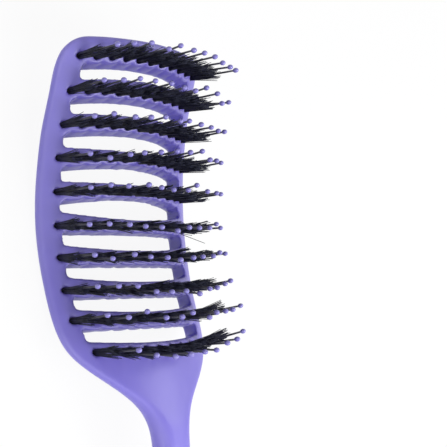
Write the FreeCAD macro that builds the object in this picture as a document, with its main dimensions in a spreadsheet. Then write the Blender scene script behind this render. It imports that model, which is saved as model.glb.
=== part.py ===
import FreeCAD
import Part

import math
import os

# Curved vented detangling brush, in millimetres. The model is drawn with X across
# the head, Y along it towards the tip and Z out of the bristle side. At the end
# every piece is turned to the way the brush lies on a table, bristles up.

SIZES = {
    # rows of tufts
    "row_pitch": 11.0,
    "tuft_pitch": 5.42,
    # moulded head
    "length_radius": 121.0,
    "width_radius": 48.0,
    "band_thickness": 6.2,
    "rim_margin": 5.3,
    "tip_margin": 6.6,
    # vents
    "slot_corner": 1.1,
    "groove_radius": 0.8,
    "groove_setback": 0.1,
    "groove_depth": 5.2,
    # neck and handle
    "shoulder_length": 30.5,
    "neck_width": 13.2,
    "neck_depth": 10.6,
    "neck_height": 12.8,
    "handle_length": 103.0,
    "grip_width": 19.5,
    "grip_depth": 15.5,
    "grip_height": 15.2,
    "end_height": 14.4,
    "hang_hole_width": 6.0,
    "hang_hole_margin": 10.0,
    # stapled tufts
    "hole_width": 2.3,
    "hole_depth": 3.8,
    "bristle_length": 12.2,
    "tuft_tip_width": 3.2,
    "anchor_thickness": 0.3,
    "anchor_height": 1.2,
    "fold_height": 0.7,
    # ball-tipped pins
    "pin_width": 0.8,
    "pin_reach": 19.2,
    "tip_width": 1.8,
    "tip_height": 2.4,
    "tip_seat": 0.5,
    # shared
    "fit_clearance": 0.04,
    "cut_overrun": 2.0,
    "mesh_step": 0.3,
}

# Tufts in each bar, from the tip of the head to the handle.
TUFT_COUNTS = (11, 11, 11, 11, 11, 11, 11, 11, 11, 9)

# How much of the full tuft pitch each bar has, and of the full half width each
# bar but the last.
PITCH_SHARES = (0.91, 0.94, 0.97, 0.99, 1.0, 1.0, 1.0, 1.0, 0.98, 1.02)
ROW_WIDTH_SHARES = (0.926, 0.944, 0.966, 0.981, 0.994, 1.0, 0.994, 0.981, 0.963)

# Rounded nose and corners at the tip: place between the first bar and the tip,
# width and thickness.
TIP_SHARES = (
    (1.0, 0.705, 0.22),
    (0.988, 0.721, 0.34),
    (0.951, 0.757, 0.53),
    (0.877, 0.800, 0.74),
    (0.753, 0.843, 0.93),
    (0.60, 0.874, 1.0),
    (0.35, 0.906, 1.0),
)

# Shoulder: place, height, width and thickness between the last bar but one and
# the neck. The second line is the last bar.
SHOULDER_SHARES = (
    (0.108, 0.146, 0.975, 0.0),
    (0.243, 0.317, 0.900, 0.0),
    (0.373, 0.469, 0.735, 0.02),
    (0.559, 0.677, 0.385, 0.15),
    (0.711, 0.833, 0.145, 0.45),
    (0.860, 0.948, 0.032, 0.82),
)

# Handle: place along it, then height, width and depth between neck and grip.
GRIP_SHARES = (
    (0.14, 0.30, 0.14, 0.16),
    (0.36, 0.74, 0.70, 0.70),
    (0.58, 1.0, 1.0, 1.0),
)

# Butt of the handle: place along it, height between grip and end, and width and
# depth of the rounded end against the grip's.
BUTT_SHARES = (
    (0.777, 0.25, 0.964, 0.955),
    (0.883, 0.55, 0.882, 0.852),
    (0.942, 0.80, 0.760, 0.710),
    (0.971, 0.90, 0.615, 0.555),
    (0.988, 0.97, 0.450, 0.375),
    (1.0, 1.0, 0.280, 0.200),
)

# Vents, from the tip to the handle: distance of the upper edge from the tufts above
# and of the lower edge from the tufts below, each at the middle and at the ends,
# against the row pitch, then half length against half the width of the tufts.
VENT_SHARES = (
    (0.136, 0.130, 0.391, 0.409, 0.867),
    (0.136, 0.132, 0.346, 0.431, 0.922),
    (0.136, 0.141, 0.273, 0.424, 0.948),
    (0.155, 0.169, 0.280, 0.426, 0.963),
    (0.138, 0.190, 0.205, 0.525, 0.970),
    (0.226, 0.085, 0.205, 0.494, 0.967),
    (0.275, 0.135, 0.226, 0.501, 0.956),
    (0.264, 0.145, 0.213, 0.443, 0.937),
    (0.312, 0.222, 0.235, 0.434, 0.897),
)

# How far each bar's tufts stand from an even pitch, towards the tip.
ROW_SHIFT_SHARES = (0.0, 0.0, 0.0, 0.0, -0.03, -0.07, -0.05, -0.045, 0.04, 0.0)

# Turn of the tufts out of the head's own normal: along the head and across it.
LEAN_DEGREES = 2.6
LEAN_SHARE = 0.09
FAN_SHARE = 0.15

os.makedirs("parts", exist_ok=True)
doc = FreeCAD.newDocument("detangling_brush")
sheet = doc.addObject("Spreadsheet::Sheet", "sizes")
for line, (alias, value) in enumerate(SIZES.items(), start=1):
    sheet.set("A%d" % line, alias)
    sheet.set("B%d" % line, str(value))
    sheet.setAlias("B%d" % line, alias)
doc.recompute()


def size(alias):
    return float(sheet.get(alias))


def bind(item, **expressions):
    for name, expression in expressions.items():
        item.setExpression(name.replace("__", "."), expression)
    return item


def between(first, second, share):
    return first + (second - first) * share


# Places that several pieces share.
rows = len(TUFT_COUNTS)
rows_half = size("row_pitch") * (rows - 1) / 2
row_places = [rows_half - size("row_pitch") * row for row in range(rows)]
half_band = size("band_thickness") / 2
middle_radius = size("width_radius") - half_band
half_spread = size("tuft_pitch") * (max(TUFT_COUNTS) - 1) / 2
half_width = half_spread + size("rim_margin")
tip_place = row_places[0] + size("tip_margin")
head_end_place = row_places[-2]
neck_place = row_places[-1] - size("shoulder_length")
end_place = neck_place - size("handle_length")
row_places[-1] = between(head_end_place, neck_place, SHOULDER_SHARES[1][0])


def arc_height(place):
    """Height of the head's front line, which is hollow along its length."""
    radius = size("length_radius")
    return radius - math.sqrt(radius * radius - place * place)


def head_middle(place):
    return arc_height(place) - half_band


# Every cross-section of the moulding: place, height of its middle, half width, thickness.
stations = []
for place_share, width_share, depth_share in TIP_SHARES:
    place = between(row_places[0], tip_place, place_share)
    depth = size("band_thickness") * depth_share
    stations.append((place, head_middle(place), half_width * width_share, depth))
for place, width_share in zip(row_places, ROW_WIDTH_SHARES):
    stations.append((place, head_middle(place), half_width * width_share, size("band_thickness")))
head_end_width = half_width * ROW_WIDTH_SHARES[-1]
for place_share, height_share, width_share, depth_share in SHOULDER_SHARES:
    stations.append((
        between(head_end_place, neck_place, place_share),
        between(head_middle(head_end_place), size("neck_height"), height_share),
        between(size("neck_width") / 2, head_end_width, width_share),
        between(size("band_thickness"), size("neck_depth"), depth_share),
    ))
stations.append((neck_place, size("neck_height"), size("neck_width") / 2, size("neck_depth")))
for place_share, height_share, width_share, depth_share in GRIP_SHARES:
    stations.append((
        between(neck_place, end_place, place_share),
        between(size("neck_height"), size("grip_height"), height_share),
        between(size("neck_width"), size("grip_width"), width_share) / 2,
        between(size("neck_depth"), size("grip_depth"), depth_share),
    ))
for place_share, height_share, width_share, depth_share in BUTT_SHARES:
    stations.append((
        between(neck_place, end_place, place_share),
        between(size("grip_height"), size("end_height"), height_share),
        size("grip_width") * width_share / 2,
        size("grip_depth") * depth_share,
    ))


def plane_of(body, role):
    return next(item for item in body.Origin.OriginFeatures if item.Role == role)


def arc_curve(centre, radius, start, stop):
    """A circular arc of up to a quarter turn as one cubic curve."""
    pull = radius * math.tan((stop - start) / 4) * 4 / 3
    poles = []
    for angle, side in ((start, 1), (stop, -1)):
        point = centre + FreeCAD.Vector(math.cos(angle), math.sin(angle), 0) * radius
        poles.append(point)
        poles.append(point + FreeCAD.Vector(-math.sin(angle), math.cos(angle), 0) * pull * side)
    curve = Part.BezierCurve()
    curve.setPoles([poles[0], poles[1], poles[3], poles[2]])
    return curve.toBSpline()


def section_sketch(body, number, station):
    """Arched band with round ends: outer arc, round end, inner arc, round end."""
    place, height, reach, thickness = station
    half = thickness / 2
    turn = math.asin((reach - half) / middle_radius)
    sketch = body.newObject("Sketcher::SketchObject", "section_%02d" % number)
    sketch.AttachmentSupport = (plane_of(body, "XZ_Plane"), [""])
    sketch.MapMode = "FlatFace"
    sketch.AttachmentOffset = FreeCAD.Placement(FreeCAD.Vector(0, 0, -place), FreeCAD.Rotation())
    hub = FreeCAD.Vector(0, height - middle_radius, 0)
    right = hub + FreeCAD.Vector(math.sin(turn), math.cos(turn), 0) * middle_radius
    left = FreeCAD.Vector(-right.x, right.y, 0)
    quarter = math.pi / 2
    arcs = (
        (hub, middle_radius + half, quarter - turn, quarter + turn),
        (left, half, quarter + turn, 2 * quarter + turn),
        (left, half, 2 * quarter + turn, 3 * quarter + turn),
        (hub, middle_radius - half, quarter + turn, quarter - turn),
        (right, half, -quarter - turn, -turn),
        (right, half, -turn, quarter - turn),
    )
    for arc in arcs:
        sketch.addGeometry(arc_curve(*arc), False)
    return sketch


# One moulding from the tip of the head to the end of the handle.
blank = doc.addObject("PartDesign::Body", "frame_blank")
sections = [section_sketch(blank, number, station) for number, station in enumerate(stations)]
doc.recompute()
loft = blank.newObject("PartDesign::AdditiveLoft", "moulding")
loft.Profile = sections[0]
loft.Sections = sections[1:]
loft.Ruled = False
doc.recompute()


row_places = [
    place + size("row_pitch") * share for place, share in zip(row_places, ROW_SHIFT_SHARES)
]


def lying_turn(points, weight):
    """Turn about X that lays the moulding on its back, on the edge below its weight."""
    hull = []
    for point in sorted((point.y, point.z) for point in points):
        while len(hull) > 1:
            (y0, z0), (y1, z1) = hull[-2], hull[-1]
            if (y1 - y0) * (point[1] - z0) - (z1 - z0) * (point[0] - y0) > 0:
                break
            hull.pop()
        hull.append(point)
    for (y0, z0), (y1, z1) in zip(hull[:-1], hull[1:]):
        if y0 <= weight <= y1:
            return -math.degrees(math.atan2(z1 - z0, y1 - y0))
    return 0.0


# The way the finished brush lies on a table. The vents are open straight up then.
skin = blank.Shape.tessellate(size("mesh_step"))[0]
lie = FreeCAD.Rotation(FreeCAD.Vector(1, 0, 0), lying_turn(skin, blank.Shape.CenterOfGravity.y))
lying = [lie.multVec(point) for point in skin]
lowest = min(point.z for point in lying)
middle = (min(point.y for point in lying) + max(point.y for point in lying)) / 2
rest = FreeCAD.Placement(FreeCAD.Vector(0, -middle, -lowest), lie)
upright = lie.inverted()
draw = upright.multVec(FreeCAD.Vector(0, 0, 1))


def row_height(row):
    """Front height of a bar at the middle of the head."""
    if row < rows - 1:
        return arc_height(row_places[row])
    share = SHOULDER_SHARES[1][1]
    return between(head_middle(head_end_place), size("neck_height"), share) + half_band


def front_point(row, across, place):
    drop = size("width_radius") - math.sqrt(size("width_radius") ** 2 - across ** 2)
    return FreeCAD.Vector(across, place, row_height(row) - drop)


def plan_place(row):
    """Place of a bar's tufts in the plan of the lying brush."""
    return row_places[row] - row_height(row) * draw.y / draw.z


def vent_reach(number):
    return half_spread * VENT_SHARES[number][-1]


def vent_edge(number, upper, across):
    """Place of a vent's long edge in that plan; it is bowed across the head."""
    upper_middle, upper_end, lower_middle, lower_end = VENT_SHARES[number][:4]
    part_way = (across / (vent_reach(number) - size("slot_corner"))) ** 2
    if upper:
        gap = between(upper_middle, upper_end, part_way)
        return plan_place(number) - size("row_pitch") * gap
    gap = between(lower_middle, lower_end, part_way)
    return plan_place(number + 1) + size("row_pitch") * gap


def flat_points(points):
    return [FreeCAD.Vector(across, place, 0) for across, place in points]


vents = doc.addObject("Sketcher::SketchObject", "vent_outlines")
corner = size("slot_corner")
corner_turn = corner * (1 - math.sqrt(0.5))
for number in range(rows - 1):
    reach = vent_reach(number)
    flat = reach - corner
    ends = {}
    for upper, side in ((True, 1), (False, -1)):
        middle, end = vent_edge(number, upper, 0), vent_edge(number, upper, flat)
        ends[upper] = end
        edge = Part.BezierCurve()
        edge.setPoles(flat_points([(-flat, end), (0, 2 * middle - end), (flat, end)]))
        vents.addGeometry(edge.toBSpline(), False)
        for hand in (1, -1):
            turn = flat_points([
                (hand * reach, end - side * corner),
                (hand * (reach - corner_turn), end - side * corner_turn),
                (hand * flat, end),
            ])
            vents.addGeometry(Part.Arc(*turn), False)
    for hand in (1, -1):
        line = flat_points([(hand * reach, ends[False] + corner), (hand * reach, ends[True] - corner)])
        vents.addGeometry(Part.LineSegment(*line), False)
vent_tool = doc.addObject("Part::Extrusion", "vent_tool")
vent_tool.Base = vents
vent_tool.DirMode = "Custom"
vent_tool.Dir = draw
vent_tool.Solid = True
bind(vent_tool, LengthFwd="sizes.width_radius", LengthRev="sizes.width_radius")

hang_tool = doc.addObject("Part::Cylinder", "hang_tool")
bind(hang_tool, Radius="sizes.hang_hole_width / 2", Height="sizes.grip_depth * 2")
hang_place = end_place + size("hang_hole_margin")
hang_tool.Placement.Base = FreeCAD.Vector(0, hang_place, size("end_height") - size("grip_depth"))

vented = doc.addObject("Part::Cut", "vented_moulding")
vented.Base = blank
vented.Tool = vent_tool
bored = doc.addObject("Part::Cut", "bored_moulding")
bored.Base = vented
bored.Tool = hang_tool
doc.recompute()


def tuft_offsets(row):
    count = TUFT_COUNTS[row]
    pitch = size("tuft_pitch") * PITCH_SHARES[row]
    return [pitch * (number - (count - 1) / 2) for number in range(count)]


def tuft_seat(row, across):
    """Where a tuft leaves the front of its bar, and which way it points."""
    curve = math.degrees(math.asin(row_places[row] / size("length_radius")))
    arch = math.degrees(math.asin(across / size("width_radius")))
    lean = FreeCAD.Rotation(FreeCAD.Vector(1, 0, 0), LEAN_DEGREES + LEAN_SHARE * curve)
    fan = FreeCAD.Rotation(FreeCAD.Vector(0, 1, 0), FAN_SHARE * arch)
    return FreeCAD.Placement(front_point(row, across, row_places[row]), lean.multiply(fan))


# Cutters for one tuft: its blind hole, and the groove that leaves a rounded boss
# at each tuft on the lower side of a bar.
hole_tool = bind(
    doc.addObject("Part::Cylinder", "hole_tool"),
    Radius="sizes.hole_width / 2",
    Height="sizes.hole_depth + sizes.cut_overrun",
    Placement__Base__z="-sizes.hole_depth",
)
groove_tool = bind(
    doc.addObject("Part::Cylinder", "groove_tool"),
    Radius="sizes.groove_radius",
    Height="sizes.groove_depth + sizes.cut_overrun",
    Placement__Base__z="-sizes.groove_depth",
)
doc.recompute()


def copy_at(shape, placement):
    twin = shape.copy()
    twin.Placement = placement.multiply(twin.Placement)
    return twin


cutters = []
for row in range(rows):
    offsets = tuft_offsets(row)
    for across in offsets:
        cutters.append(copy_at(hole_tool.Shape, tuft_seat(row, across)))
    if row == rows - 1:
        continue
    for first, second in zip(offsets[:-1], offsets[1:]):
        across = (first + second) / 2
        edge = vent_edge(row, True, across) - size("groove_setback")
        seat = front_point(row, across, edge)
        seat.y += seat.z * draw.y / draw.z
        cutters.append(copy_at(groove_tool.Shape, FreeCAD.Placement(seat, upright)))
frame_cutters = doc.addObject("Part::Feature", "frame_cutters")
frame_cutters.Shape = Part.makeCompound(cutters)

frame = doc.addObject("Part::Cut", "frame")
frame.Base = bored
frame.Tool = frame_cutters

# One tuft of each kind, standing at the origin on the front of a bar.
tuft_root = bind(
    doc.addObject("Part::Cylinder", "tuft_root"),
    Radius="sizes.hole_width / 2 - sizes.fit_clearance",
    Height="sizes.hole_depth - sizes.fit_clearance",
    Placement__Base__z="sizes.fit_clearance - sizes.hole_depth",
)
tuft_brush = bind(
    doc.addObject("Part::Cone", "tuft_brush"),
    Radius1="sizes.hole_width / 2 - sizes.fit_clearance",
    Radius2="sizes.tuft_tip_width / 2",
    Height="sizes.bristle_length",
)
tuft_bundle = doc.addObject("Part::Fuse", "tuft_bundle")
tuft_bundle.Base = tuft_root
tuft_bundle.Tool = tuft_brush
anchor_seat = bind(
    doc.addObject("Part::Box", "anchor_seat"),
    Length="sizes.hole_width + sizes.cut_overrun",
    Width="sizes.anchor_thickness + 2 * sizes.fit_clearance",
    Height="sizes.anchor_height + 2 * sizes.fit_clearance",
    Placement__Base__x="-(sizes.hole_width + sizes.cut_overrun) / 2",
    Placement__Base__y="-sizes.anchor_thickness / 2 - sizes.fit_clearance",
    Placement__Base__z="sizes.fold_height - sizes.hole_depth - sizes.fit_clearance",
)
tuft_split = doc.addObject("Part::Cut", "tuft_split")
tuft_split.Base = tuft_bundle
tuft_split.Tool = anchor_seat
pin_bore = bind(
    doc.addObject("Part::Cylinder", "pin_bore"),
    Radius="sizes.pin_width / 2 + sizes.fit_clearance",
    Height="sizes.pin_reach + sizes.hole_depth",
    Placement__Base__z="sizes.fold_height + sizes.anchor_height - sizes.hole_depth",
)
bristle_form = doc.addObject("Part::Cut", "bristle_form")
bristle_form.Base = tuft_split
bristle_form.Tool = pin_bore

pin_form = bind(
    doc.addObject("Part::Cylinder", "pin_form"),
    Radius="sizes.pin_width / 2",
    Height="sizes.pin_reach + sizes.tip_seat + sizes.hole_depth - sizes.fold_height"
    " - sizes.anchor_height - sizes.fit_clearance",
    Placement__Base__z="sizes.fold_height + sizes.anchor_height + sizes.fit_clearance"
    " - sizes.hole_depth",
)

tip_ball = bind(
    doc.addObject("Part::Ellipsoid", "tip_ball"),
    Radius1="sizes.tip_height / 2",
    Radius2="sizes.tip_width / 2",
    Radius3="sizes.tip_width / 2",
    Placement__Base__z="sizes.pin_reach",
)
tip_bore = bind(
    doc.addObject("Part::Cylinder", "tip_bore"),
    Radius="sizes.pin_width / 2 + sizes.fit_clearance",
    Height="sizes.tip_height + sizes.tip_seat + sizes.fit_clearance",
    Placement__Base__z="sizes.pin_reach - sizes.tip_height",
)
tip_form = doc.addObject("Part::Cut", "tip_form")
tip_form.Base = tip_ball
tip_form.Tool = tip_bore

anchor_form = bind(
    doc.addObject("Part::Box", "anchor_form"),
    Length="sizes.hole_width - 2 * sizes.fit_clearance",
    Width="sizes.anchor_thickness",
    Height="sizes.anchor_height",
    Placement__Base__x="sizes.fit_clearance - sizes.hole_width / 2",
    Placement__Base__y="-sizes.anchor_thickness / 2",
    Placement__Base__z="sizes.fold_height - sizes.hole_depth",
)
doc.recompute()

# Each bar has its own group of bristles, pins, tips and anchors.
nodes = [frame]
for row in range(rows):
    for kind, form in (
        ("bristles", bristle_form),
        ("pins", pin_form),
        ("tips", tip_form),
        ("anchors", anchor_form),
    ):
        group = doc.addObject("Part::Feature", "row_%02d_%s" % (row + 1, kind))
        seats = [tuft_seat(row, across) for across in tuft_offsets(row)]
        group.Shape = Part.makeCompound([copy_at(form.Shape, seat) for seat in seats])
        nodes.append(group)
doc.recompute()
for node in nodes:
    node.Placement = rest.multiply(node.Placement)
    node.Label = node.Name

for item in doc.Objects:
    if "Invalid" in item.State or "Error" in item.State:
        raise RuntimeError("%s did not build: %s" % (item.Name, item.State))
for node in nodes:
    if node.Shape.isNull() or not node.Shape.isValid():
        raise RuntimeError("%s has no valid shape" % node.Label)
    node.Shape.exportStep("parts/%s.step" % node.Label)
    print(node.Label, len(node.Shape.Solids), round(node.Shape.Volume, 2))
hang = rest.multVec(FreeCAD.Vector(0, hang_place, size("end_height")))
print("hang hole", hang, "axis", lie.multVec(FreeCAD.Vector(0, 0, 1)))
print("turn", rest.Rotation.Angle, "base", rest.Base)
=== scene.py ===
"""Lavender vented detangling brush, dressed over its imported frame.

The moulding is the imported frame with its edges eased, each tuft is a bundle of
separate black filaments round one pin with a resin ball, and a pale studio
stands round the brush. Lengths are metres in the frame's own axes: X across the
head, Y from the hanging end to the tip of the head, Z up from the table.
"""

import logging
import math
from collections.abc import Mapping
from dataclasses import dataclass, field
from enum import Enum
from typing import Any

import bmesh
import bpy
import numpy as np
from mathutils import Matrix, Vector


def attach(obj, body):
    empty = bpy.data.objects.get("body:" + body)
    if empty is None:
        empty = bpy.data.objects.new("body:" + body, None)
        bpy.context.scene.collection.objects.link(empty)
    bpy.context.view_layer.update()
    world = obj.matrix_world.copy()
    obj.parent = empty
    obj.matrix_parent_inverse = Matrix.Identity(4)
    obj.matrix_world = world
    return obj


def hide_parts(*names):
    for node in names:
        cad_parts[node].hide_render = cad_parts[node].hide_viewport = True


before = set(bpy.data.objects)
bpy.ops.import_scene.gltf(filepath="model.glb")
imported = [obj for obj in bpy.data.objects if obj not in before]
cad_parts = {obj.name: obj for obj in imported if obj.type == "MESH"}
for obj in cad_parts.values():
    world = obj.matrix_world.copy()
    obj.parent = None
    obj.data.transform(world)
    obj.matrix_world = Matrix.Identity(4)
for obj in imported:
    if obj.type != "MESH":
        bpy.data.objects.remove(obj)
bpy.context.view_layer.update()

LOG = logging.getLogger("brush")
MM = 0.001
BODY = "root"
GOLDEN_ANGLE = math.pi * (3.0 - math.sqrt(5.0))
JOIN_DISTANCE = 0.002 * MM

Array = np.ndarray
Rgba = tuple[float, float, float, float]
Span = tuple[float, float]

WHITE: Rgba = (1.0, 1.0, 1.0, 1.0)


class Slot(Enum):
    """Names of the material slots."""

    MOULDING = "moulding"
    BRISTLE = "bristle"
    PIN = "pin"
    TIP = "tip"
    ANCHOR = "anchor"


class Trait(Enum):
    """The per-vertex values that the strands carry for their materials."""

    ALONG = "along"
    STRAND = "strand"


# --------------------------------------------------------------------------
# Shader graph
# --------------------------------------------------------------------------


@dataclass(frozen=True)
class Colour:
    """A display colour, 0 to 255 a channel."""

    red: float
    green: float
    blue: float

    def linear(self) -> Rgba:
        """Return the colour as linear light with full alpha."""
        def channel(value: float) -> float:
            """Return one display channel as linear light."""
            share = value / 255.0
            return share / 12.92 if share <= 0.04045 else ((share + 0.055) / 1.055) ** 2.4

        return channel(self.red), channel(self.green), channel(self.blue), 1.0


class Shade:
    """One output socket of a material's nodes, which can be written in sums."""

    def __init__(self, graph: "Graph", socket: bpy.types.NodeSocket) -> None:
        """Wrap a socket.

        Args:
            graph: The graph that the socket belongs to.
            socket: The output socket.
        """
        self.graph = graph
        self.socket = socket

    def _math(self, operation: str, left: "Shade | float", right: "Shade | float") -> "Shade":
        """Add a Math node.

        Args:
            operation: The node's operation.
            left: The first operand.
            right: The second operand.

        Returns:
            The node's value.
        """
        return self.graph.node("ShaderNodeMath", {"operation": operation}, {0: left, 1: right})

    def __add__(self, other: "Shade | float") -> "Shade":
        """Return this value plus the other."""
        return self._math("ADD", self, other)

    def __radd__(self, other: float) -> "Shade":
        """Return a number plus this value."""
        return self._math("ADD", other, self)

    def __sub__(self, other: "Shade | float") -> "Shade":
        """Return this value less the other."""
        return self._math("SUBTRACT", self, other)

    def __rsub__(self, other: float) -> "Shade":
        """Return a number less this value."""
        return self._math("SUBTRACT", other, self)

    def __mul__(self, other: "Shade | float") -> "Shade":
        """Return this value times the other."""
        return self._math("MULTIPLY", self, other)

    def __rmul__(self, other: float) -> "Shade":
        """Return a number times this value."""
        return self._math("MULTIPLY", other, self)

    def either(self, other: "Shade") -> "Shade":
        """Return the larger of two values."""
        return self._math("MAXIMUM", self, other)

    def ease(self, low: float, high: float) -> "Shade":
        """Return 0 below low and 1 above high, with a smooth step between.

        Args:
            low: The value that gives 0.
            high: The value that gives 1.

        Returns:
            The eased value.
        """
        return self.graph.node(
            "ShaderNodeMapRange",
            {"interpolation_type": "SMOOTHSTEP", "clamp": True},
            {"Value": self, "From Min": low, "From Max": high, "To Min": 0.0, "To Max": 1.0},
        )


class Graph:
    """The node tree of one material or of the world."""

    def __init__(self, tree: bpy.types.NodeTree) -> None:
        """Empty a node tree and take it over.

        Args:
            tree: The tree of a material or of the world.
        """
        tree.nodes.clear()
        self.tree = tree

    @staticmethod
    def _pick(
        sockets: bpy.types.bpy_prop_collection, key: "str | int | None"
    ) -> bpy.types.NodeSocket:
        """Find a live socket.

        Args:
            sockets: A node's inputs or outputs.
            key: The socket's name, its index, or None for the first live one.

        Returns:
            The socket.
        """
        if isinstance(key, int):
            return sockets[key]
        return next(s for s in sockets if s.enabled and key in (None, s.name))

    def node(
        self,
        kind: str,
        settings: Mapping[str, Any] | None = None,
        inputs: Mapping["str | int", Any] | None = None,
        output: "str | None" = None,
    ) -> Shade | None:
        """Add any node.

        Args:
            kind: The node's type.
            settings: Its own settings, set first; stops are a ramp's places and colours.
            inputs: Values or links for its sockets, by name or index.
            output: The output to return, or None for the first.

        Returns:
            The output, or None for a node that has none.
        """
        made = self.tree.nodes.new(kind)
        for name, value in (settings or {}).items():
            if name == "stops":
                self._fill_ramp(made.color_ramp, value)
            else:
                setattr(made, name, value)
        for key, value in (inputs or {}).items():
            socket = self._pick(made.inputs, key)
            if isinstance(value, Shade):
                self.tree.links.new(value.socket, socket)
            else:
                socket.default_value = value
        return Shade(self, self._pick(made.outputs, output)) if len(made.outputs) else None

    @staticmethod
    def _fill_ramp(ramp: bpy.types.ColorRamp, stops: list[tuple[float, Rgba]]) -> None:
        """Give a colour ramp its stops.

        Args:
            ramp: The ramp.
            stops: Each stop's place and linear colour, from low to high.
        """
        while len(ramp.elements) > len(stops):
            ramp.elements.remove(ramp.elements[-1])
        while len(ramp.elements) < len(stops):
            ramp.elements.new(1.0)
        for element, (place, colour) in zip(ramp.elements, stops):
            element.position, element.color = place, colour

    def place(self) -> Shade:
        """Return the Object coordinates."""
        return self.node("ShaderNodeTexCoord", output="Object")

    def noise(self, place: Shade, scale: float, detail: float = 2.0) -> Shade:
        """Add a noise texture.

        Args:
            place: The coordinates.
            scale: Features per metre.
            detail: Octaves.

        Returns:
            The noise, about 0.5 on average.
        """
        return self.node(
            "ShaderNodeTexNoise",
            {"noise_dimensions": "3D"},
            {"Vector": place, "Scale": scale, "Detail": detail},
            "Fac",
        )

    def trait(self, trait: Trait) -> Shade:
        """Return one of the strands' per-vertex values."""
        return self.node(
            "ShaderNodeAttribute",
            {"attribute_type": "GEOMETRY", "attribute_name": trait.value},
            output="Fac",
        )

    def blend(
        self, factor: "Shade | float", low: "Shade | Colour", high: "Shade | Colour"
    ) -> Shade:
        """Mix two colours.

        Args:
            factor: 0 for the first, 1 for the second.
            low: The first colour.
            high: The second colour.

        Returns:
            The mixed colour.
        """
        ends = [end.linear() if isinstance(end, Colour) else end for end in (low, high)]
        return self.node(
            "ShaderNodeMix",
            {"data_type": "RGBA", "clamp_factor": True},
            {"Factor": factor, "A": ends[0], "B": ends[1]},
        )

    def bump(self, height: Shade, strength: float, distance: float) -> Shade:
        """Turn a height into a normal.

        Args:
            height: The height, 0 to 1.
            strength: How much of it shows.
            distance: The height of 1, in metres.

        Returns:
            The normal.
        """
        return self.node(
            "ShaderNodeBump", inputs={"Height": height, "Strength": strength, "Distance": distance}
        )

    def surface(self, shader: Shade) -> None:
        """Make a shader the material's surface."""
        self.node("ShaderNodeOutputMaterial", inputs={"Surface": shader})


def material_graph(name: str) -> tuple[bpy.types.Material, Graph]:
    """Start a material.

    Args:
        name: The material's name.

    Returns:
        The material and its empty graph.
    """
    material = bpy.data.materials.new(name)
    material.use_nodes = True
    return material, Graph(material.node_tree)


# --------------------------------------------------------------------------
# Finishes
# --------------------------------------------------------------------------


@dataclass(frozen=True)
class SoftTouchPlastic:
    """Matt lavender plastic, faint moulded grain, painted edge highlight and painted crease shade.
    """

    name: str = "soft_touch_lavender"
    body: Colour = Colour(115, 105, 199)
    # Colour of the painted shade in creases and hollows.
    crease_shade_tone: Colour = Colour(95, 85, 180)
    pale: Colour = Colour(143, 136, 206)
    cloud_scale: float = 42.0
    peel_scale: float = 900.0
    grain_scale: float = 2600.0
    cloud_span: Span = (0.35, 0.75)
    # Pointiness of the convex edges: paler there as a painted highlight, and a little smoother.
    wear_and_highlight_span: Span = (0.503, 0.56)
    # Pointiness of the creases and hollows, darkened there as painted shade.
    crease_shade_span: Span = (0.40, 0.49)
    cloud_share: float = 0.22
    # Strength of the painted highlight on the convex edges.
    edge_highlight_share: float = 0.65
    # Strength of the painted shade in creases and hollows.
    crease_shade_share: float = 0.45
    roughness: float = 0.33
    grain_height: float = 0.12 * MM
    light_depth: float = 1.6 * MM

    def material(self) -> bpy.types.Material:
        """Return the finish as a material."""
        material, graph = material_graph(self.name)
        place = graph.place()
        cloud = graph.noise(place, self.cloud_scale, detail=3.0)
        peel = graph.noise(place, self.peel_scale)
        grain = graph.noise(place, self.grain_scale, detail=1.0)
        edge = graph.node("ShaderNodeNewGeometry", output="Pointiness")
        # Convex edges: a painted highlight in the colour, and lower roughness.
        wear_and_highlight = edge.ease(*self.wear_and_highlight_span)
        # Creases and hollows: painted shade.
        crease_shade = 1.0 - edge.ease(*self.crease_shade_span)
        tone = graph.blend(cloud.ease(*self.cloud_span) * self.cloud_share, self.body, self.pale)
        # Paler convex edges: painted highlight.
        tone = graph.blend(wear_and_highlight * self.edge_highlight_share * (0.6 + 0.4 * cloud), tone, self.pale)
        # Darker creases and hollows: painted shade.
        tone = graph.blend(crease_shade * self.crease_shade_share, tone, self.crease_shade_tone)
        rough = self.roughness + 0.09 * cloud + 0.07 * peel - 0.04 * wear_and_highlight
        height = peel * 0.7 + grain * 0.3
        graph.surface(
            graph.node(
                "ShaderNodeBsdfPrincipled",
                inputs={
                    "Base Color": tone,
                    "Roughness": rough,
                    "Normal": graph.bump(height, 0.10, self.grain_height),
                    "IOR": 1.52,
                    "Specular IOR Level": 0.75,
                    "Subsurface Weight": 0.35,
                    "Subsurface Radius": (1.0, 0.9, 1.3),
                    "Subsurface Scale": self.light_depth,
                    "Sheen Weight": 0.05,
                    "Sheen Roughness": 0.45,
                },
            )
        )
        return material


@dataclass(frozen=True)
class FilamentNylon:
    """Black nylon filament, darkened at the root as painted shade, a little greyer at its cut end.
    """

    name: str = "filament_black"
    # Colour of the painted shade at the root, down in the tuft.
    root: Colour = Colour(12, 13, 23)
    middle: Colour = Colour(20, 22, 38)
    end: Colour = Colour(34, 37, 62)
    dust_scale: float = 1500.0
    dust_span: Span = (0.62, 0.80)
    dust_share: float = 0.35
    roughness: float = 0.34

    def material(self) -> bpy.types.Material:
        """Return the finish as a material."""
        material, graph = material_graph(self.name)
        along, strand = graph.trait(Trait.ALONG), graph.trait(Trait.STRAND)
        dust = graph.noise(graph.place(), self.dust_scale)
        # Darker at the root, down in the tuft: painted shade.
        tone = graph.blend(along.ease(0.0, 0.55), self.root, self.middle)
        tone = graph.blend(along.ease(0.75, 1.0) * (0.2 + 0.6 * strand), tone, self.end)
        tone = graph.blend(dust.ease(*self.dust_span) * self.dust_share, tone, self.end)
        graph.surface(
            graph.node(
                "ShaderNodeBsdfPrincipled",
                inputs={
                    "Base Color": tone,
                    "Roughness": self.roughness + 0.22 * strand,
                    "Normal": graph.bump(dust, 0.15, 0.03 * MM),
                    "IOR": 1.53,
                    "Specular IOR Level": 0.3,
                },
            )
        )
        return material


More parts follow.
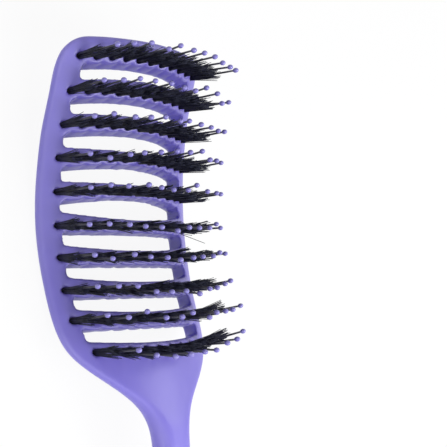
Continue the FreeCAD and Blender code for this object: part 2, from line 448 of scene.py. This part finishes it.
@dataclass(frozen=True)
class PinNylon:
    """Stiff black nylon rod with drawn lines along it."""

    name: str = "pin_black"
    # Colour of the painted shade low on the pin, inside the tuft.
    root: Colour = Colour(17, 17, 25)
    end: Colour = Colour(40, 39, 55)
    line_scale: float = 2200.0
    roughness: float = 0.26

    def material(self) -> bpy.types.Material:
        """Return the finish as a material."""
        material, graph = material_graph(self.name)
        along, strand = graph.trait(Trait.ALONG), graph.trait(Trait.STRAND)
        drawn = graph.noise(graph.place(), self.line_scale)
        # Darker low down in the tuft, lighter towards the ball: painted shade.
        tone = graph.blend(along.ease(0.35, 1.0) * (0.5 + 0.5 * strand), self.root, self.end)
        graph.surface(
            graph.node(
                "ShaderNodeBsdfPrincipled",
                inputs={
                    "Base Color": tone,
                    "Roughness": self.roughness + 0.16 * drawn,
                    "Normal": graph.bump(drawn, 0.12, 0.03 * MM),
                    "IOR": 1.53,
                },
            )
        )
        return material


@dataclass(frozen=True)
class BallResin:
    """Glossy lavender resin drop, darkened towards the pin as painted shade."""

    name: str = "ball_lavender"
    body: Colour = Colour(126, 119, 195)
    # Colour of the painted shade towards the pin; the swirl below mixes it in as well.
    neck: Colour = Colour(72, 64, 136)
    neck_shade_span: Span = (0.20, 0.85)
    swirl_scale: float = 700.0
    roughness: float = 0.18

    def material(self) -> bpy.types.Material:
        """Return the finish as a material."""
        material, graph = material_graph(self.name)
        along, strand = graph.trait(Trait.ALONG), graph.trait(Trait.STRAND)
        swirl = graph.noise(graph.place(), self.swirl_scale)
        # Darker towards the pin: painted shade.
        tone = graph.blend(along.ease(*self.neck_shade_span), self.neck, self.body)
        tone = graph.blend(swirl.ease(0.5, 0.8) * (0.10 + 0.15 * strand), tone, self.neck)
        graph.surface(
            graph.node(
                "ShaderNodeBsdfPrincipled",
                inputs={
                    "Base Color": tone,
                    "Roughness": self.roughness + 0.08 * swirl,
                    "Normal": graph.bump(swirl, 0.05, 0.05 * MM),
                    "Coat Weight": 0.5,
                    "Coat Roughness": 0.06,
                },
            )
        )
        return material


@dataclass(frozen=True)
class AnchorSteel:
    """Flattened bright wire with rolling marks."""

    name: str = "anchor_steel"
    bright: Colour = Colour(202, 198, 188)
    dull: Colour = Colour(150, 145, 136)
    mark_scale: float = 3200.0

    def material(self) -> bpy.types.Material:
        """Return the finish as a material."""
        material, graph = material_graph(self.name)
        rolled = graph.noise(graph.place(), self.mark_scale, detail=3.0)
        graph.surface(
            graph.node(
                "ShaderNodeBsdfPrincipled",
                inputs={
                    "Base Color": graph.blend(rolled.ease(0.4, 0.7), self.bright, self.dull),
                    "Metallic": 1.0,
                    "Roughness": 0.28 + 0.2 * rolled,
                    "Normal": graph.bump(rolled, 0.1, 0.02 * MM),
                },
            )
        )
        return material


@dataclass(frozen=True)
class StudioPaper:
    """White paper that keeps a faint shadow."""

    name: str = "studio_paper"
    paper: Colour = Colour(244, 244, 246)
    fibre: Colour = Colour(240, 240, 243)
    fibre_scale: float = 60.0
    fibre_share: float = 0.3
    shadow_share: float = 0.08

    def material(self) -> bpy.types.Material:
        """Return the finish as a material."""
        material, graph = material_graph(self.name)
        fibres = graph.noise(graph.place(), self.fibre_scale)
        tone = graph.blend(fibres * self.fibre_share, self.paper, self.fibre)
        sheet = graph.node("ShaderNodeBsdfDiffuse", inputs={"Color": tone})
        white = graph.node("ShaderNodeEmission", inputs={"Color": WHITE, "Strength": 1.0})
        lit = seen_directly(graph) * (1.0 - self.shadow_share)
        graph.surface(graph.node("ShaderNodeMixShader", inputs={0: lit, 1: sheet, 2: white}))
        return material


def seen_directly(graph: Graph) -> Shade:
    """Return 1 for rays that show the backdrop itself, straight, mirrored or through glass.

    Args:
        graph: The backdrop's graph.

    Returns:
        The ray test.
    """
    camera = graph.node("ShaderNodeLightPath", output="Is Camera Ray")
    mirrored = graph.node("ShaderNodeLightPath", output="Is Glossy Ray")
    through = graph.node("ShaderNodeLightPath", output="Is Transmission Ray")
    return camera.either(mirrored).either(through)


# --------------------------------------------------------------------------
# Mesh helpers
# --------------------------------------------------------------------------


def add_piece(
    name: str,
    mesh: bpy.types.Mesh,
    material: bpy.types.Material,
    slot: Slot,
    *nodes: str,
) -> bpy.types.Object:
    """Put a finished mesh in the scene in place of frame nodes.

    Args:
        name: The piece's name.
        mesh: Its mesh, in place.
        material: Its finish.
        slot: Not used.
        *nodes: The frame nodes that it stands for.

    Returns:
        The piece.
    """
    mesh.name = name
    mesh.materials.clear()
    mesh.materials.append(material)
    mesh.shade_smooth()
    piece = bpy.data.objects.new(name, mesh)
    bpy.context.scene.collection.objects.link(piece)
    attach(piece, BODY)
    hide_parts(*nodes)
    return piece


def merged_copy(node: str) -> bmesh.types.BMesh:
    """Copy a frame node's mesh with its loose triangles joined.

    Args:
        node: The node's name.

    Returns:
        The joined copy.
    """
    bm = bmesh.new()
    bm.from_mesh(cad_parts[node].data)
    bmesh.ops.remove_doubles(bm, verts=bm.verts, dist=JOIN_DISTANCE)
    return bm


def islands(bm: bmesh.types.BMesh) -> list[Array]:
    """Split a mesh into its separate shells.

    Args:
        bm: The mesh.

    Returns:
        Each shell's points.
    """
    left, shells = set(bm.verts), []
    while left:
        front, shell = [left.pop()], []
        while front:
            vertex = front.pop()
            shell.append(tuple(vertex.co))
            for edge in vertex.link_edges:
                other = edge.other_vert(vertex)
                if other in left:
                    left.remove(other)
                    front.append(other)
        shells.append(np.array(shell))
    return shells


def stacked(template: bmesh.types.BMesh, count: int) -> bpy.types.Mesh:
    """Repeat a unit shape in one mesh, every copy in the same place.

    Args:
        template: The unit shape.
        count: How many copies.

    Returns:
        The mesh, with the copies' vertices one after another.
    """
    unit = bpy.data.meshes.new("unit")
    template.to_mesh(unit)
    bm = bmesh.new()
    for _ in range(count):
        bm.from_mesh(unit)
    mesh = bpy.data.meshes.new("stack")
    bm.to_mesh(mesh)
    bm.free()
    template.free()
    bpy.data.meshes.remove(unit)
    return mesh


def points_of(mesh: bpy.types.Mesh) -> Array:
    """Return a mesh's points, one row each."""
    flat = np.empty(len(mesh.vertices) * 3, dtype=np.float32)
    mesh.vertices.foreach_get("co", flat)
    return flat.reshape(-1, 3).astype(float)


def set_points(mesh: bpy.types.Mesh, points: Array) -> None:
    """Move a mesh's points.

    Args:
        mesh: The mesh.
        points: Their new places, one row each.
    """
    mesh.vertices.foreach_set("co", points.astype(np.float32).ravel())
    mesh.update()


def set_trait(mesh: bpy.types.Mesh, trait: Trait, values: Array) -> None:
    """Give each vertex a value that a material can read.

    Args:
        mesh: The mesh.
        trait: Which value.
        values: One number a vertex.
    """
    layer = mesh.attributes.new(trait.value, "FLOAT", "POINT")
    layer.data.foreach_set("value", values.astype(np.float32).ravel())


def across(axes: Array) -> tuple[Array, Array]:
    """Find two directions square to each axis.

    Args:
        axes: Unit axes, one row each.

    Returns:
        The two sets of unit directions.
    """
    first = np.cross(np.array([0.0, 1.0, 0.0]), axes)
    first /= np.linalg.norm(first, axis=1, keepdims=True)
    return first, np.cross(axes, first)


@dataclass
class Strands:
    """Slim shapes that start at a root, follow an axis, and lean and curve off it."""

    roots: Array
    axes: Array
    lengths: Array
    widths: Array
    leans: Array
    curves: Array

    def at(self, unit: Array) -> Array:
        """Carry a unit shape's points onto every strand.

        Args:
            unit: Points of a shape of unit half width and unit length along Z.

        Returns:
            The points, strand by strand.
        """
        first, second = across(self.axes)
        rise = unit[None, :, 2]
        lift = rise[:, :, None]
        shift = self.leans[:, None, :] * lift + self.curves[:, None, :] * lift ** 2
        girth = unit[None, :, :2] * self.widths[:, None, None] * 0.5
        side = girth + shift * self.lengths[:, None, None]
        return (
            self.roots[:, None, :]
            + self.axes[:, None, :] * (rise * self.lengths[:, None])[:, :, None]
            + first[:, None, :] * side[:, :, :1]
            + second[:, None, :] * side[:, :, 1:]
        )

    def ends(self) -> tuple[Array, Array]:
        """Return where each strand ends and the direction it has there."""
        first, second = across(self.axes)
        shift = (self.leans + self.curves) * self.lengths[:, None]
        slope = self.leans + 2.0 * self.curves
        straight = self.roots + self.axes * self.lengths[:, None]
        tips = straight + first * shift[:, :1] + second * shift[:, 1:]
        heading = self.axes + first * slope[:, :1] + second * slope[:, 1:]
        return tips, heading / np.linalg.norm(heading, axis=1, keepdims=True)


# --------------------------------------------------------------------------
# The brush
# --------------------------------------------------------------------------


@dataclass
class Moulding:
    """Head, bars, neck and handle in one piece, with every moulded edge eased."""

    node: str = "frame"
    name: str = "moulding"
    cell: float = 0.61 * MM
    easing_passes: int = 5
    easing_factor: float = 0.5
    finish: SoftTouchPlastic = field(default_factory=SoftTouchPlastic)

    def build(self) -> bpy.types.Object:
        """Return the moulding, made from the frame's own shape."""
        mesh = self._recast()
        bm = bmesh.new()
        bm.from_mesh(mesh)
        for _ in range(self.easing_passes):
            bmesh.ops.smooth_vert(
                bm,
                verts=bm.verts,
                factor=self.easing_factor,
                use_axis_x=True,
                use_axis_y=True,
                use_axis_z=True,
            )
        bm.to_mesh(mesh)
        bm.free()
        return add_piece(self.name, mesh, self.finish.material(), Slot.MOULDING, self.node)

    def _recast(self) -> bpy.types.Mesh:
        """Return the frame's shape as an even mesh of small cells."""
        bm = merged_copy(self.node)
        rough = bpy.data.meshes.new("rough_casting")
        bm.to_mesh(rough)
        bm.free()
        casting = bpy.data.objects.new("rough_casting", rough)
        bpy.context.scene.collection.objects.link(casting)
        remesh = casting.modifiers.new("cells", "REMESH")
        remesh.mode, remesh.voxel_size = "VOXEL", self.cell
        view = bpy.context.evaluated_depsgraph_get()
        mesh = bpy.data.meshes.new_from_object(casting.evaluated_get(view))
        bpy.data.objects.remove(casting)
        bpy.data.meshes.remove(rough)
        return mesh


@dataclass
class Bundle:
    """The filaments of one tuft."""

    count: int = 46
    filament_width: float = 0.27 * MM
    width_range: Span = (0.85, 1.15)
    hole_radius: float = 1.02 * MM
    pin_room: float = 0.40 * MM
    root_depth: float = 1.4 * MM
    length: float = 12.2 * MM
    length_spread: float = 0.06
    length_limits: Span = (-0.18, 0.10)
    turn_spread: float = 0.25
    splay: float = 0.055
    wander: float = 0.018
    tuft_lean: float = 0.022
    curl: float = 0.022
    stray_share: float = 0.0012
    stray_lean: float = 0.36
    stray_range: Span = (0.5, 1.0)

    def template(self) -> bmesh.types.BMesh:
        """Return a unit filament, four sided, of three lengths."""
        return unit_rod(sides=4, lengths=3, tip_share=0.72)

    def strands(self, roots: Array, axes: Array, chance: np.random.Generator) -> Strands:
        """Lay out the filaments of a row of tufts.

        Args:
            roots: Where each tuft's axis leaves the bar.
            axes: The tufts' axes.
            chance: The row's random numbers.

        Returns:
            The filaments, tuft by tuft.
        """
        tufts = len(roots)
        total = tufts * self.count
        place = (np.arange(total) % self.count + 0.5) / self.count
        reach = np.sqrt(place)
        radius = self.pin_room + (self.hole_radius - self.pin_room) * reach
        angle = np.arange(total) * GOLDEN_ANGLE + chance.normal(0.0, self.turn_spread, total)
        outward = np.stack([np.cos(angle), np.sin(angle)], axis=1)
        lean = outward * (self.splay * reach)[:, None] + chance.normal(0.0, self.wander, (total, 2))
        lean += np.repeat(chance.normal(0.0, self.tuft_lean, (tufts, 2)), self.count, axis=0)
        stray = chance.random(total) < self.stray_share
        strength = chance.uniform(*self.stray_range, (stray.sum(), 1))
        lean[stray] += outward[stray] * self.stray_lean * strength
        spine = np.repeat(axes, self.count, axis=0)
        first, second = across(spine)
        start = outward * radius[:, None]
        uneven = np.clip(chance.normal(0.0, self.length_spread, total), *self.length_limits)
        lengths = self.length * (1.0 + uneven)
        return Strands(
            roots=np.repeat(roots, self.count, axis=0)
            - spine * self.root_depth
            + first * start[:, :1]
            + second * start[:, 1:],
            axes=spine,
            lengths=lengths + self.root_depth,
            widths=self.filament_width * chance.uniform(*self.width_range, total),
            leans=lean,
            curves=chance.normal(0.0, self.curl, (total, 2)),
        )


@dataclass
class Pin:
    """The pin in the middle of a tuft."""

    width: float = 0.80 * MM
    lean: float = 0.022
    curl: float = 0.012

    def template(self) -> bmesh.types.BMesh:
        """Return a unit pin, eight sided, of four lengths."""
        return unit_rod(sides=8, lengths=4, tip_share=0.85)

    def strands(
        self, roots: Array, axes: Array, lengths: Array, chance: np.random.Generator
    ) -> Strands:
        """Lay out a row of pins.

        Args:
            roots: The pins' lower ends.
            axes: Their axes.
            lengths: Their lengths.
            chance: The row's random numbers.

        Returns:
            The pins.
        """
        count = len(roots)
        return Strands(
            roots=roots,
            axes=axes,
            lengths=lengths,
            widths=np.full(count, self.width),
            leans=chance.normal(0.0, self.lean, (count, 2)),
            curves=chance.normal(0.0, self.curl, (count, 2)),
        )


@dataclass
class Ball:
    """The resin drop on a pin's end."""

    width: float = 1.8 * MM
    height: float = 2.4 * MM
    seat: float = 0.5 * MM
    neck_share: float = 0.20
    size_range: Span = (0.95, 1.04)

    def template(self) -> bmesh.types.BMesh:
        """Return a unit drop, narrower towards the pin."""
        bm = bmesh.new()
        bmesh.ops.create_uvsphere(bm, u_segments=12, v_segments=8, radius=1.0)
        for vertex in bm.verts:
            low = max(0.0, -vertex.co.z)
            vertex.co.xy *= 1.0 - self.neck_share * low ** 1.5
        bmesh.ops.scale(bm, vec=Vector((1.0, 1.0, 0.5)), verts=bm.verts)
        bmesh.ops.translate(bm, vec=Vector((0.0, 0.0, 0.5)), verts=bm.verts)
        return bm

    def strands(self, tips: Array, headings: Array, chance: np.random.Generator) -> Strands:
        """Seat a row of balls on their pins.

        Args:
            tips: The pins' ends.
            headings: The pins' directions there.
            chance: The row's random numbers.

        Returns:
            The balls.
        """
        count = len(tips)
        still = np.zeros((count, 2))
        size = chance.uniform(*self.size_range, count)
        return Strands(
            roots=tips - headings * self.seat,
            axes=headings,
            lengths=self.height * size,
            widths=self.width * size,
            leans=still,
            curves=still,
        )


def unit_rod(sides: int, lengths: int, tip_share: float) -> bmesh.types.BMesh:
    """Make a rod of unit half width from 0 to 1 along Z, narrower at its top.

    Args:
        sides: Sides round it.
        lengths: How many lengths it is cut into, so that it can bend.
        tip_share: Its width at the top over its width at the root.

    Returns:
        The rod.
    """
    bm = bmesh.new()
    bmesh.ops.create_cone(
        bm, cap_ends=True, cap_tris=False, segments=sides, radius1=1.0, radius2=tip_share, depth=1.0
    )
    upright = [edge for edge in bm.edges if abs(edge.verts[0].co.z - edge.verts[1].co.z) > 0.5]
    bmesh.ops.subdivide_edges(bm, edges=upright, cuts=lengths - 1, use_grid_fill=True)
    bmesh.ops.translate(bm, vec=Vector((0.0, 0.0, 0.5)), verts=bm.verts)
    return bm


@dataclass
class Finishes:
    """The materials that the rows share."""

    filament: bpy.types.Material = field(default_factory=lambda: FilamentNylon().material())
    pin: bpy.types.Material = field(default_factory=lambda: PinNylon().material())
    ball: bpy.types.Material = field(default_factory=lambda: BallResin().material())
    anchor: bpy.types.Material = field(default_factory=lambda: AnchorSteel().material())


@dataclass(frozen=True)
class Settling:
    """The lasting lean that use has left in a row of tufts, in degrees.

    A triple is the lean towards the tip of the head at the near end, the middle
    and the far end of the bar. The last value is the pins' lean along the bar.
    """

    pins: tuple[float, float, float]
    bristles: tuple[float, float, float]
    along: float = 0.0

    @staticmethod
    def _slope(triple: tuple[float, float, float], share: Array) -> Array:
        """Bow a lean through its three values.

        Args:
            triple: Lean at the near end, the middle and the far end.
            share: Each tuft's place along the bar, from -1 to 1.

        Returns:
            The slope of each tuft.
        """
        near, middle, far = triple
        bow = (near + far) / 2.0 - middle
        return np.tan(np.radians(middle + (far - near) / 2.0 * share + bow * share ** 2))

    def pin_slopes(self, share: Array) -> Array:
        """Return the pins' slopes, along the bar and towards the tip."""
        sideways = np.full(len(share), math.tan(math.radians(self.along)))
        return np.stack([sideways, self._slope(self.pins, share)], axis=1)

    def bristle_slopes(self, share: Array) -> Array:
        """Return the bristles' slopes towards the tip."""
        return self._slope(self.bristles, share)


@dataclass
class TuftRow:
    """One bar's tufts: filaments, pins, balls and the anchors that hold them."""

    number: int
    finishes: Finishes
    settling: Settling
    pin_root: float = 1.86 * MM
    seed: int = 4100
    bundle: Bundle = field(default_factory=Bundle)
    pin: Pin = field(default_factory=Pin)
    ball: Ball = field(default_factory=Ball)

    @property
    def label(self) -> str:
        """Return the start of the row's node names."""
        return f"row_{self.number:02d}"

    def build(self) -> list[bpy.types.Object]:
        """Return the row's new pieces and dress its anchors."""
        chance = np.random.default_rng(self.seed + self.number)
        lows, axes, lengths = self._seats()
        share = lows[:, 0] / np.abs(lows[:, 0]).max()
        pins = self.pin.strands(lows, axes, lengths, chance)
        pins.leans += self.settling.pin_slopes(share)
        balls = self.ball.strands(*pins.ends(), chance)
        filaments = self.bundle.strands(lows + axes * self.pin_root, axes, chance)
        filaments.leans[:, 1] += np.repeat(self.settling.bristle_slopes(share), self.bundle.count)
        kinds = (
            ("bristles", self.bundle.template(), filaments, self.finishes.filament, Slot.BRISTLE),
            ("pins", self.pin.template(), pins, self.finishes.pin, Slot.PIN),
            ("tips", self.ball.template(), balls, self.finishes.ball, Slot.TIP),
        )
        made = [self._piece(*kind, chance) for kind in kinds]
        self._dress_anchors()
        return made

    def _seats(self) -> tuple[Array, Array, Array]:
        """Read the pins' lower ends, axes and lengths from the frame."""
        bm = merged_copy(f"{self.label}_pins")
        lows, axes, lengths = [], [], []
        for shell in sorted(islands(bm), key=lambda points: points[:, 0].mean()):
            centre = (shell.max(axis=0) + shell.min(axis=0)) / 2.0
            axis = np.linalg.eigh(np.cov((shell - shell.mean(axis=0)).T))[1][:, -1]
            axis *= math.copysign(1.0, axis[2])
            rise = (shell - centre) @ axis
            lows.append(centre + axis * rise.min())
            axes.append(axis)
            lengths.append(rise.max() - rise.min())
        bm.free()
        return np.array(lows), np.array(axes), np.array(lengths)

    def _piece(
        self,
        part: str,
        template: bmesh.types.BMesh,
        strands: Strands,
        material: bpy.types.Material,
        slot: Slot,
        chance: np.random.Generator,
    ) -> bpy.types.Object:
        """Make one piece of the row from a unit shape.

        Args:
            part: The end of the frame node's name.
            template: The unit shape.
            strands: Where its copies go.
            material: Their finish.
            slot: The slot for that finish, handed on to add_piece.
            chance: The row's random numbers.

        Returns:
            The piece.
        """
        count = len(strands.roots)
        mesh = stacked(template, count)
        unit = points_of(mesh)[: len(mesh.vertices) // count]
        set_points(mesh, strands.at(unit).reshape(-1, 3))
        set_trait(mesh, Trait.ALONG, np.tile(unit[:, 2], count))
        set_trait(mesh, Trait.STRAND, np.repeat(chance.random(count), len(unit)))
        return add_piece(f"{self.label}_{part}_made", mesh, material, slot, f"{self.label}_{part}")

    def _dress_anchors(self) -> None:
        """Give the row's anchors their finish."""
        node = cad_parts[f"{self.label}_anchors"]
        for slot in node.material_slots:
            slot.material = self.finishes.anchor


@dataclass
class Brush:
    """The whole brush."""

    settlings: tuple[Settling, ...] = (
        Settling((-0.9, 3.5, -1.7), (0.0, 2.5, -2.0), 2.7),
        Settling((1.5, 2.0, -1.0), (0.5, 0.5, -1.0), 0.8),
        Settling((1.8, 0.6, 1.2), (1.0, 0.0, 0.0)),
        Settling((-3.5, 2.2, 1.2), (-1.0, 0.5, 0.5), -0.4),
        Settling((-0.2, 0.5, 1.3), (-2.0, 0.0, 0.5), 0.3),
        Settling((-1.0, -4.1, 2.1), (-2.0, -4.0, 2.0), -1.4),
        Settling((0.1, -3.4, 4.1), (-1.5, -2.5, 5.0), -0.4),
        Settling((3.5, -3.5, 5.5), (-1.5, -2.0, 5.0), -0.8),
        Settling((3.5, 0.0, 7.3), (1.0, 0.0, 10.0), 0.9),
        Settling((0.5, -4.2, 10.5), (0.5, -3.0, 16.0), 4.2),
    )
    moulding: Moulding = field(default_factory=Moulding)
    finishes: Finishes = field(default_factory=Finishes)

    def build(self) -> list[bpy.types.Object]:
        """Return every new piece of the brush."""
        pieces = [self.moulding.build()]
        for number, settling in enumerate(self.settlings, start=1):
            pieces += TuftRow(number, self.finishes, settling).build()
        return pieces


# --------------------------------------------------------------------------
# The studio
# --------------------------------------------------------------------------


@dataclass(frozen=True)
class SoftBox:
    """A square studio lamp aimed at the head."""

    name: str
    place: tuple[float, float, float]
    size: float
    power: float

    def build(self, aim: Vector) -> bpy.types.Object:
        """Hang the lamp.

        Args:
            aim: The point that it faces.

        Returns:
            The lamp.
        """
        lamp = bpy.data.lights.new(self.name, "AREA")
        lamp.shape, lamp.size, lamp.energy = "SQUARE", self.size, self.power
        box = bpy.data.objects.new(self.name, lamp)
        box.location = self.place
        box.rotation_euler = (aim - Vector(self.place)).to_track_quat("-Z", "Y").to_euler()
        bpy.context.scene.collection.objects.link(box)
        return box


@dataclass
class Studio:
    """Paper floor, soft lamps, even surroundings and the camera."""

    floor_size: float = 4.0
    lens: float = 72.947
    sensor: float = 36.0
    clip: Span = (0.01, 20.0)
    camera_place: tuple[float, float, float] = (-0.19720, -0.01026, 0.25491)
    camera_right: tuple[float, float, float] = (0.71963, -0.15043, 0.67787)
    camera_up: tuple[float, float, float] = (-0.03529, 0.96706, 0.25208)
    camera_back: tuple[float, float, float] = (-0.69346, -0.20533, 0.69062)
    aim: tuple[float, float, float] = (0.0, 0.05, 0.015)
    surround: float = 0.30
    lamps: tuple[SoftBox, ...] = (
        SoftBox("right_box", (0.40, -0.42, 0.60), 0.38, 4.0),
        SoftBox("neck_box", (0.42, 0.22, 0.62), 0.30, 1.2),
        SoftBox("left_box", (-0.95, -0.15, 0.20), 0.50, 2.2),
        SoftBox("near_box", (-0.04, -0.36, 0.42), 0.26, 1.6),
        SoftBox("catch_light", (-0.62, -0.24, 0.62), 0.14, 0.6),
    )

    def build(self) -> None:
        """Set up the floor, the light and the camera."""
        self._lay_floor()
        self._light()
        self._aim_camera()
        bpy.context.scene.view_settings.view_transform = "Standard"

    def _lay_floor(self) -> None:
        """Lay the paper under the brush."""
        bm = bmesh.new()
        bmesh.ops.create_grid(bm, x_segments=2, y_segments=2, size=self.floor_size / 2.0)
        mesh = bpy.data.meshes.new("floor")
        bm.to_mesh(mesh)
        bm.free()
        mesh.materials.append(StudioPaper().material())
        floor = bpy.data.objects.new("floor", mesh)
        bpy.context.scene.collection.objects.link(floor)

    def _light(self) -> None:
        """Hang the lamps and light the surroundings evenly."""
        for lamp in self.lamps:
            lamp.build(Vector(self.aim))
        world = bpy.data.worlds.new("studio")
        world.use_nodes = True
        bpy.context.scene.world = world
        graph = Graph(world.node_tree)
        level = self.surround + (1.0 - self.surround) * seen_directly(graph)
        backdrop = graph.node("ShaderNodeBackground", inputs={"Color": WHITE, "Strength": level})
        graph.node("ShaderNodeOutputWorld", inputs={"Surface": backdrop})

    def _aim_camera(self) -> None:
        """Put the camera at the picture's own place and angle."""
        data = bpy.data.cameras.new("camera")
        data.lens, data.sensor_width, data.sensor_fit = self.lens, self.sensor, "HORIZONTAL"
        data.clip_start, data.clip_end = self.clip
        camera = bpy.data.objects.new("camera", data)
        axes = Matrix((self.camera_right, self.camera_up, self.camera_back)).transposed().to_4x4()
        camera.matrix_world = Matrix.Translation(Vector(self.camera_place)) @ axes
        bpy.context.scene.collection.objects.link(camera)
        bpy.context.scene.camera = camera


def main() -> None:
    """Build the brush, then the studio, and report each piece."""
    logging.basicConfig(level=logging.INFO, format="%(message)s")
    for piece in Brush().build():
        triangles = sum(len(face.vertices) - 2 for face in piece.data.polygons)
        LOG.info("%s: %d triangles", piece.name, triangles)
    Studio().build()


if __name__ == "__main__":
    main()
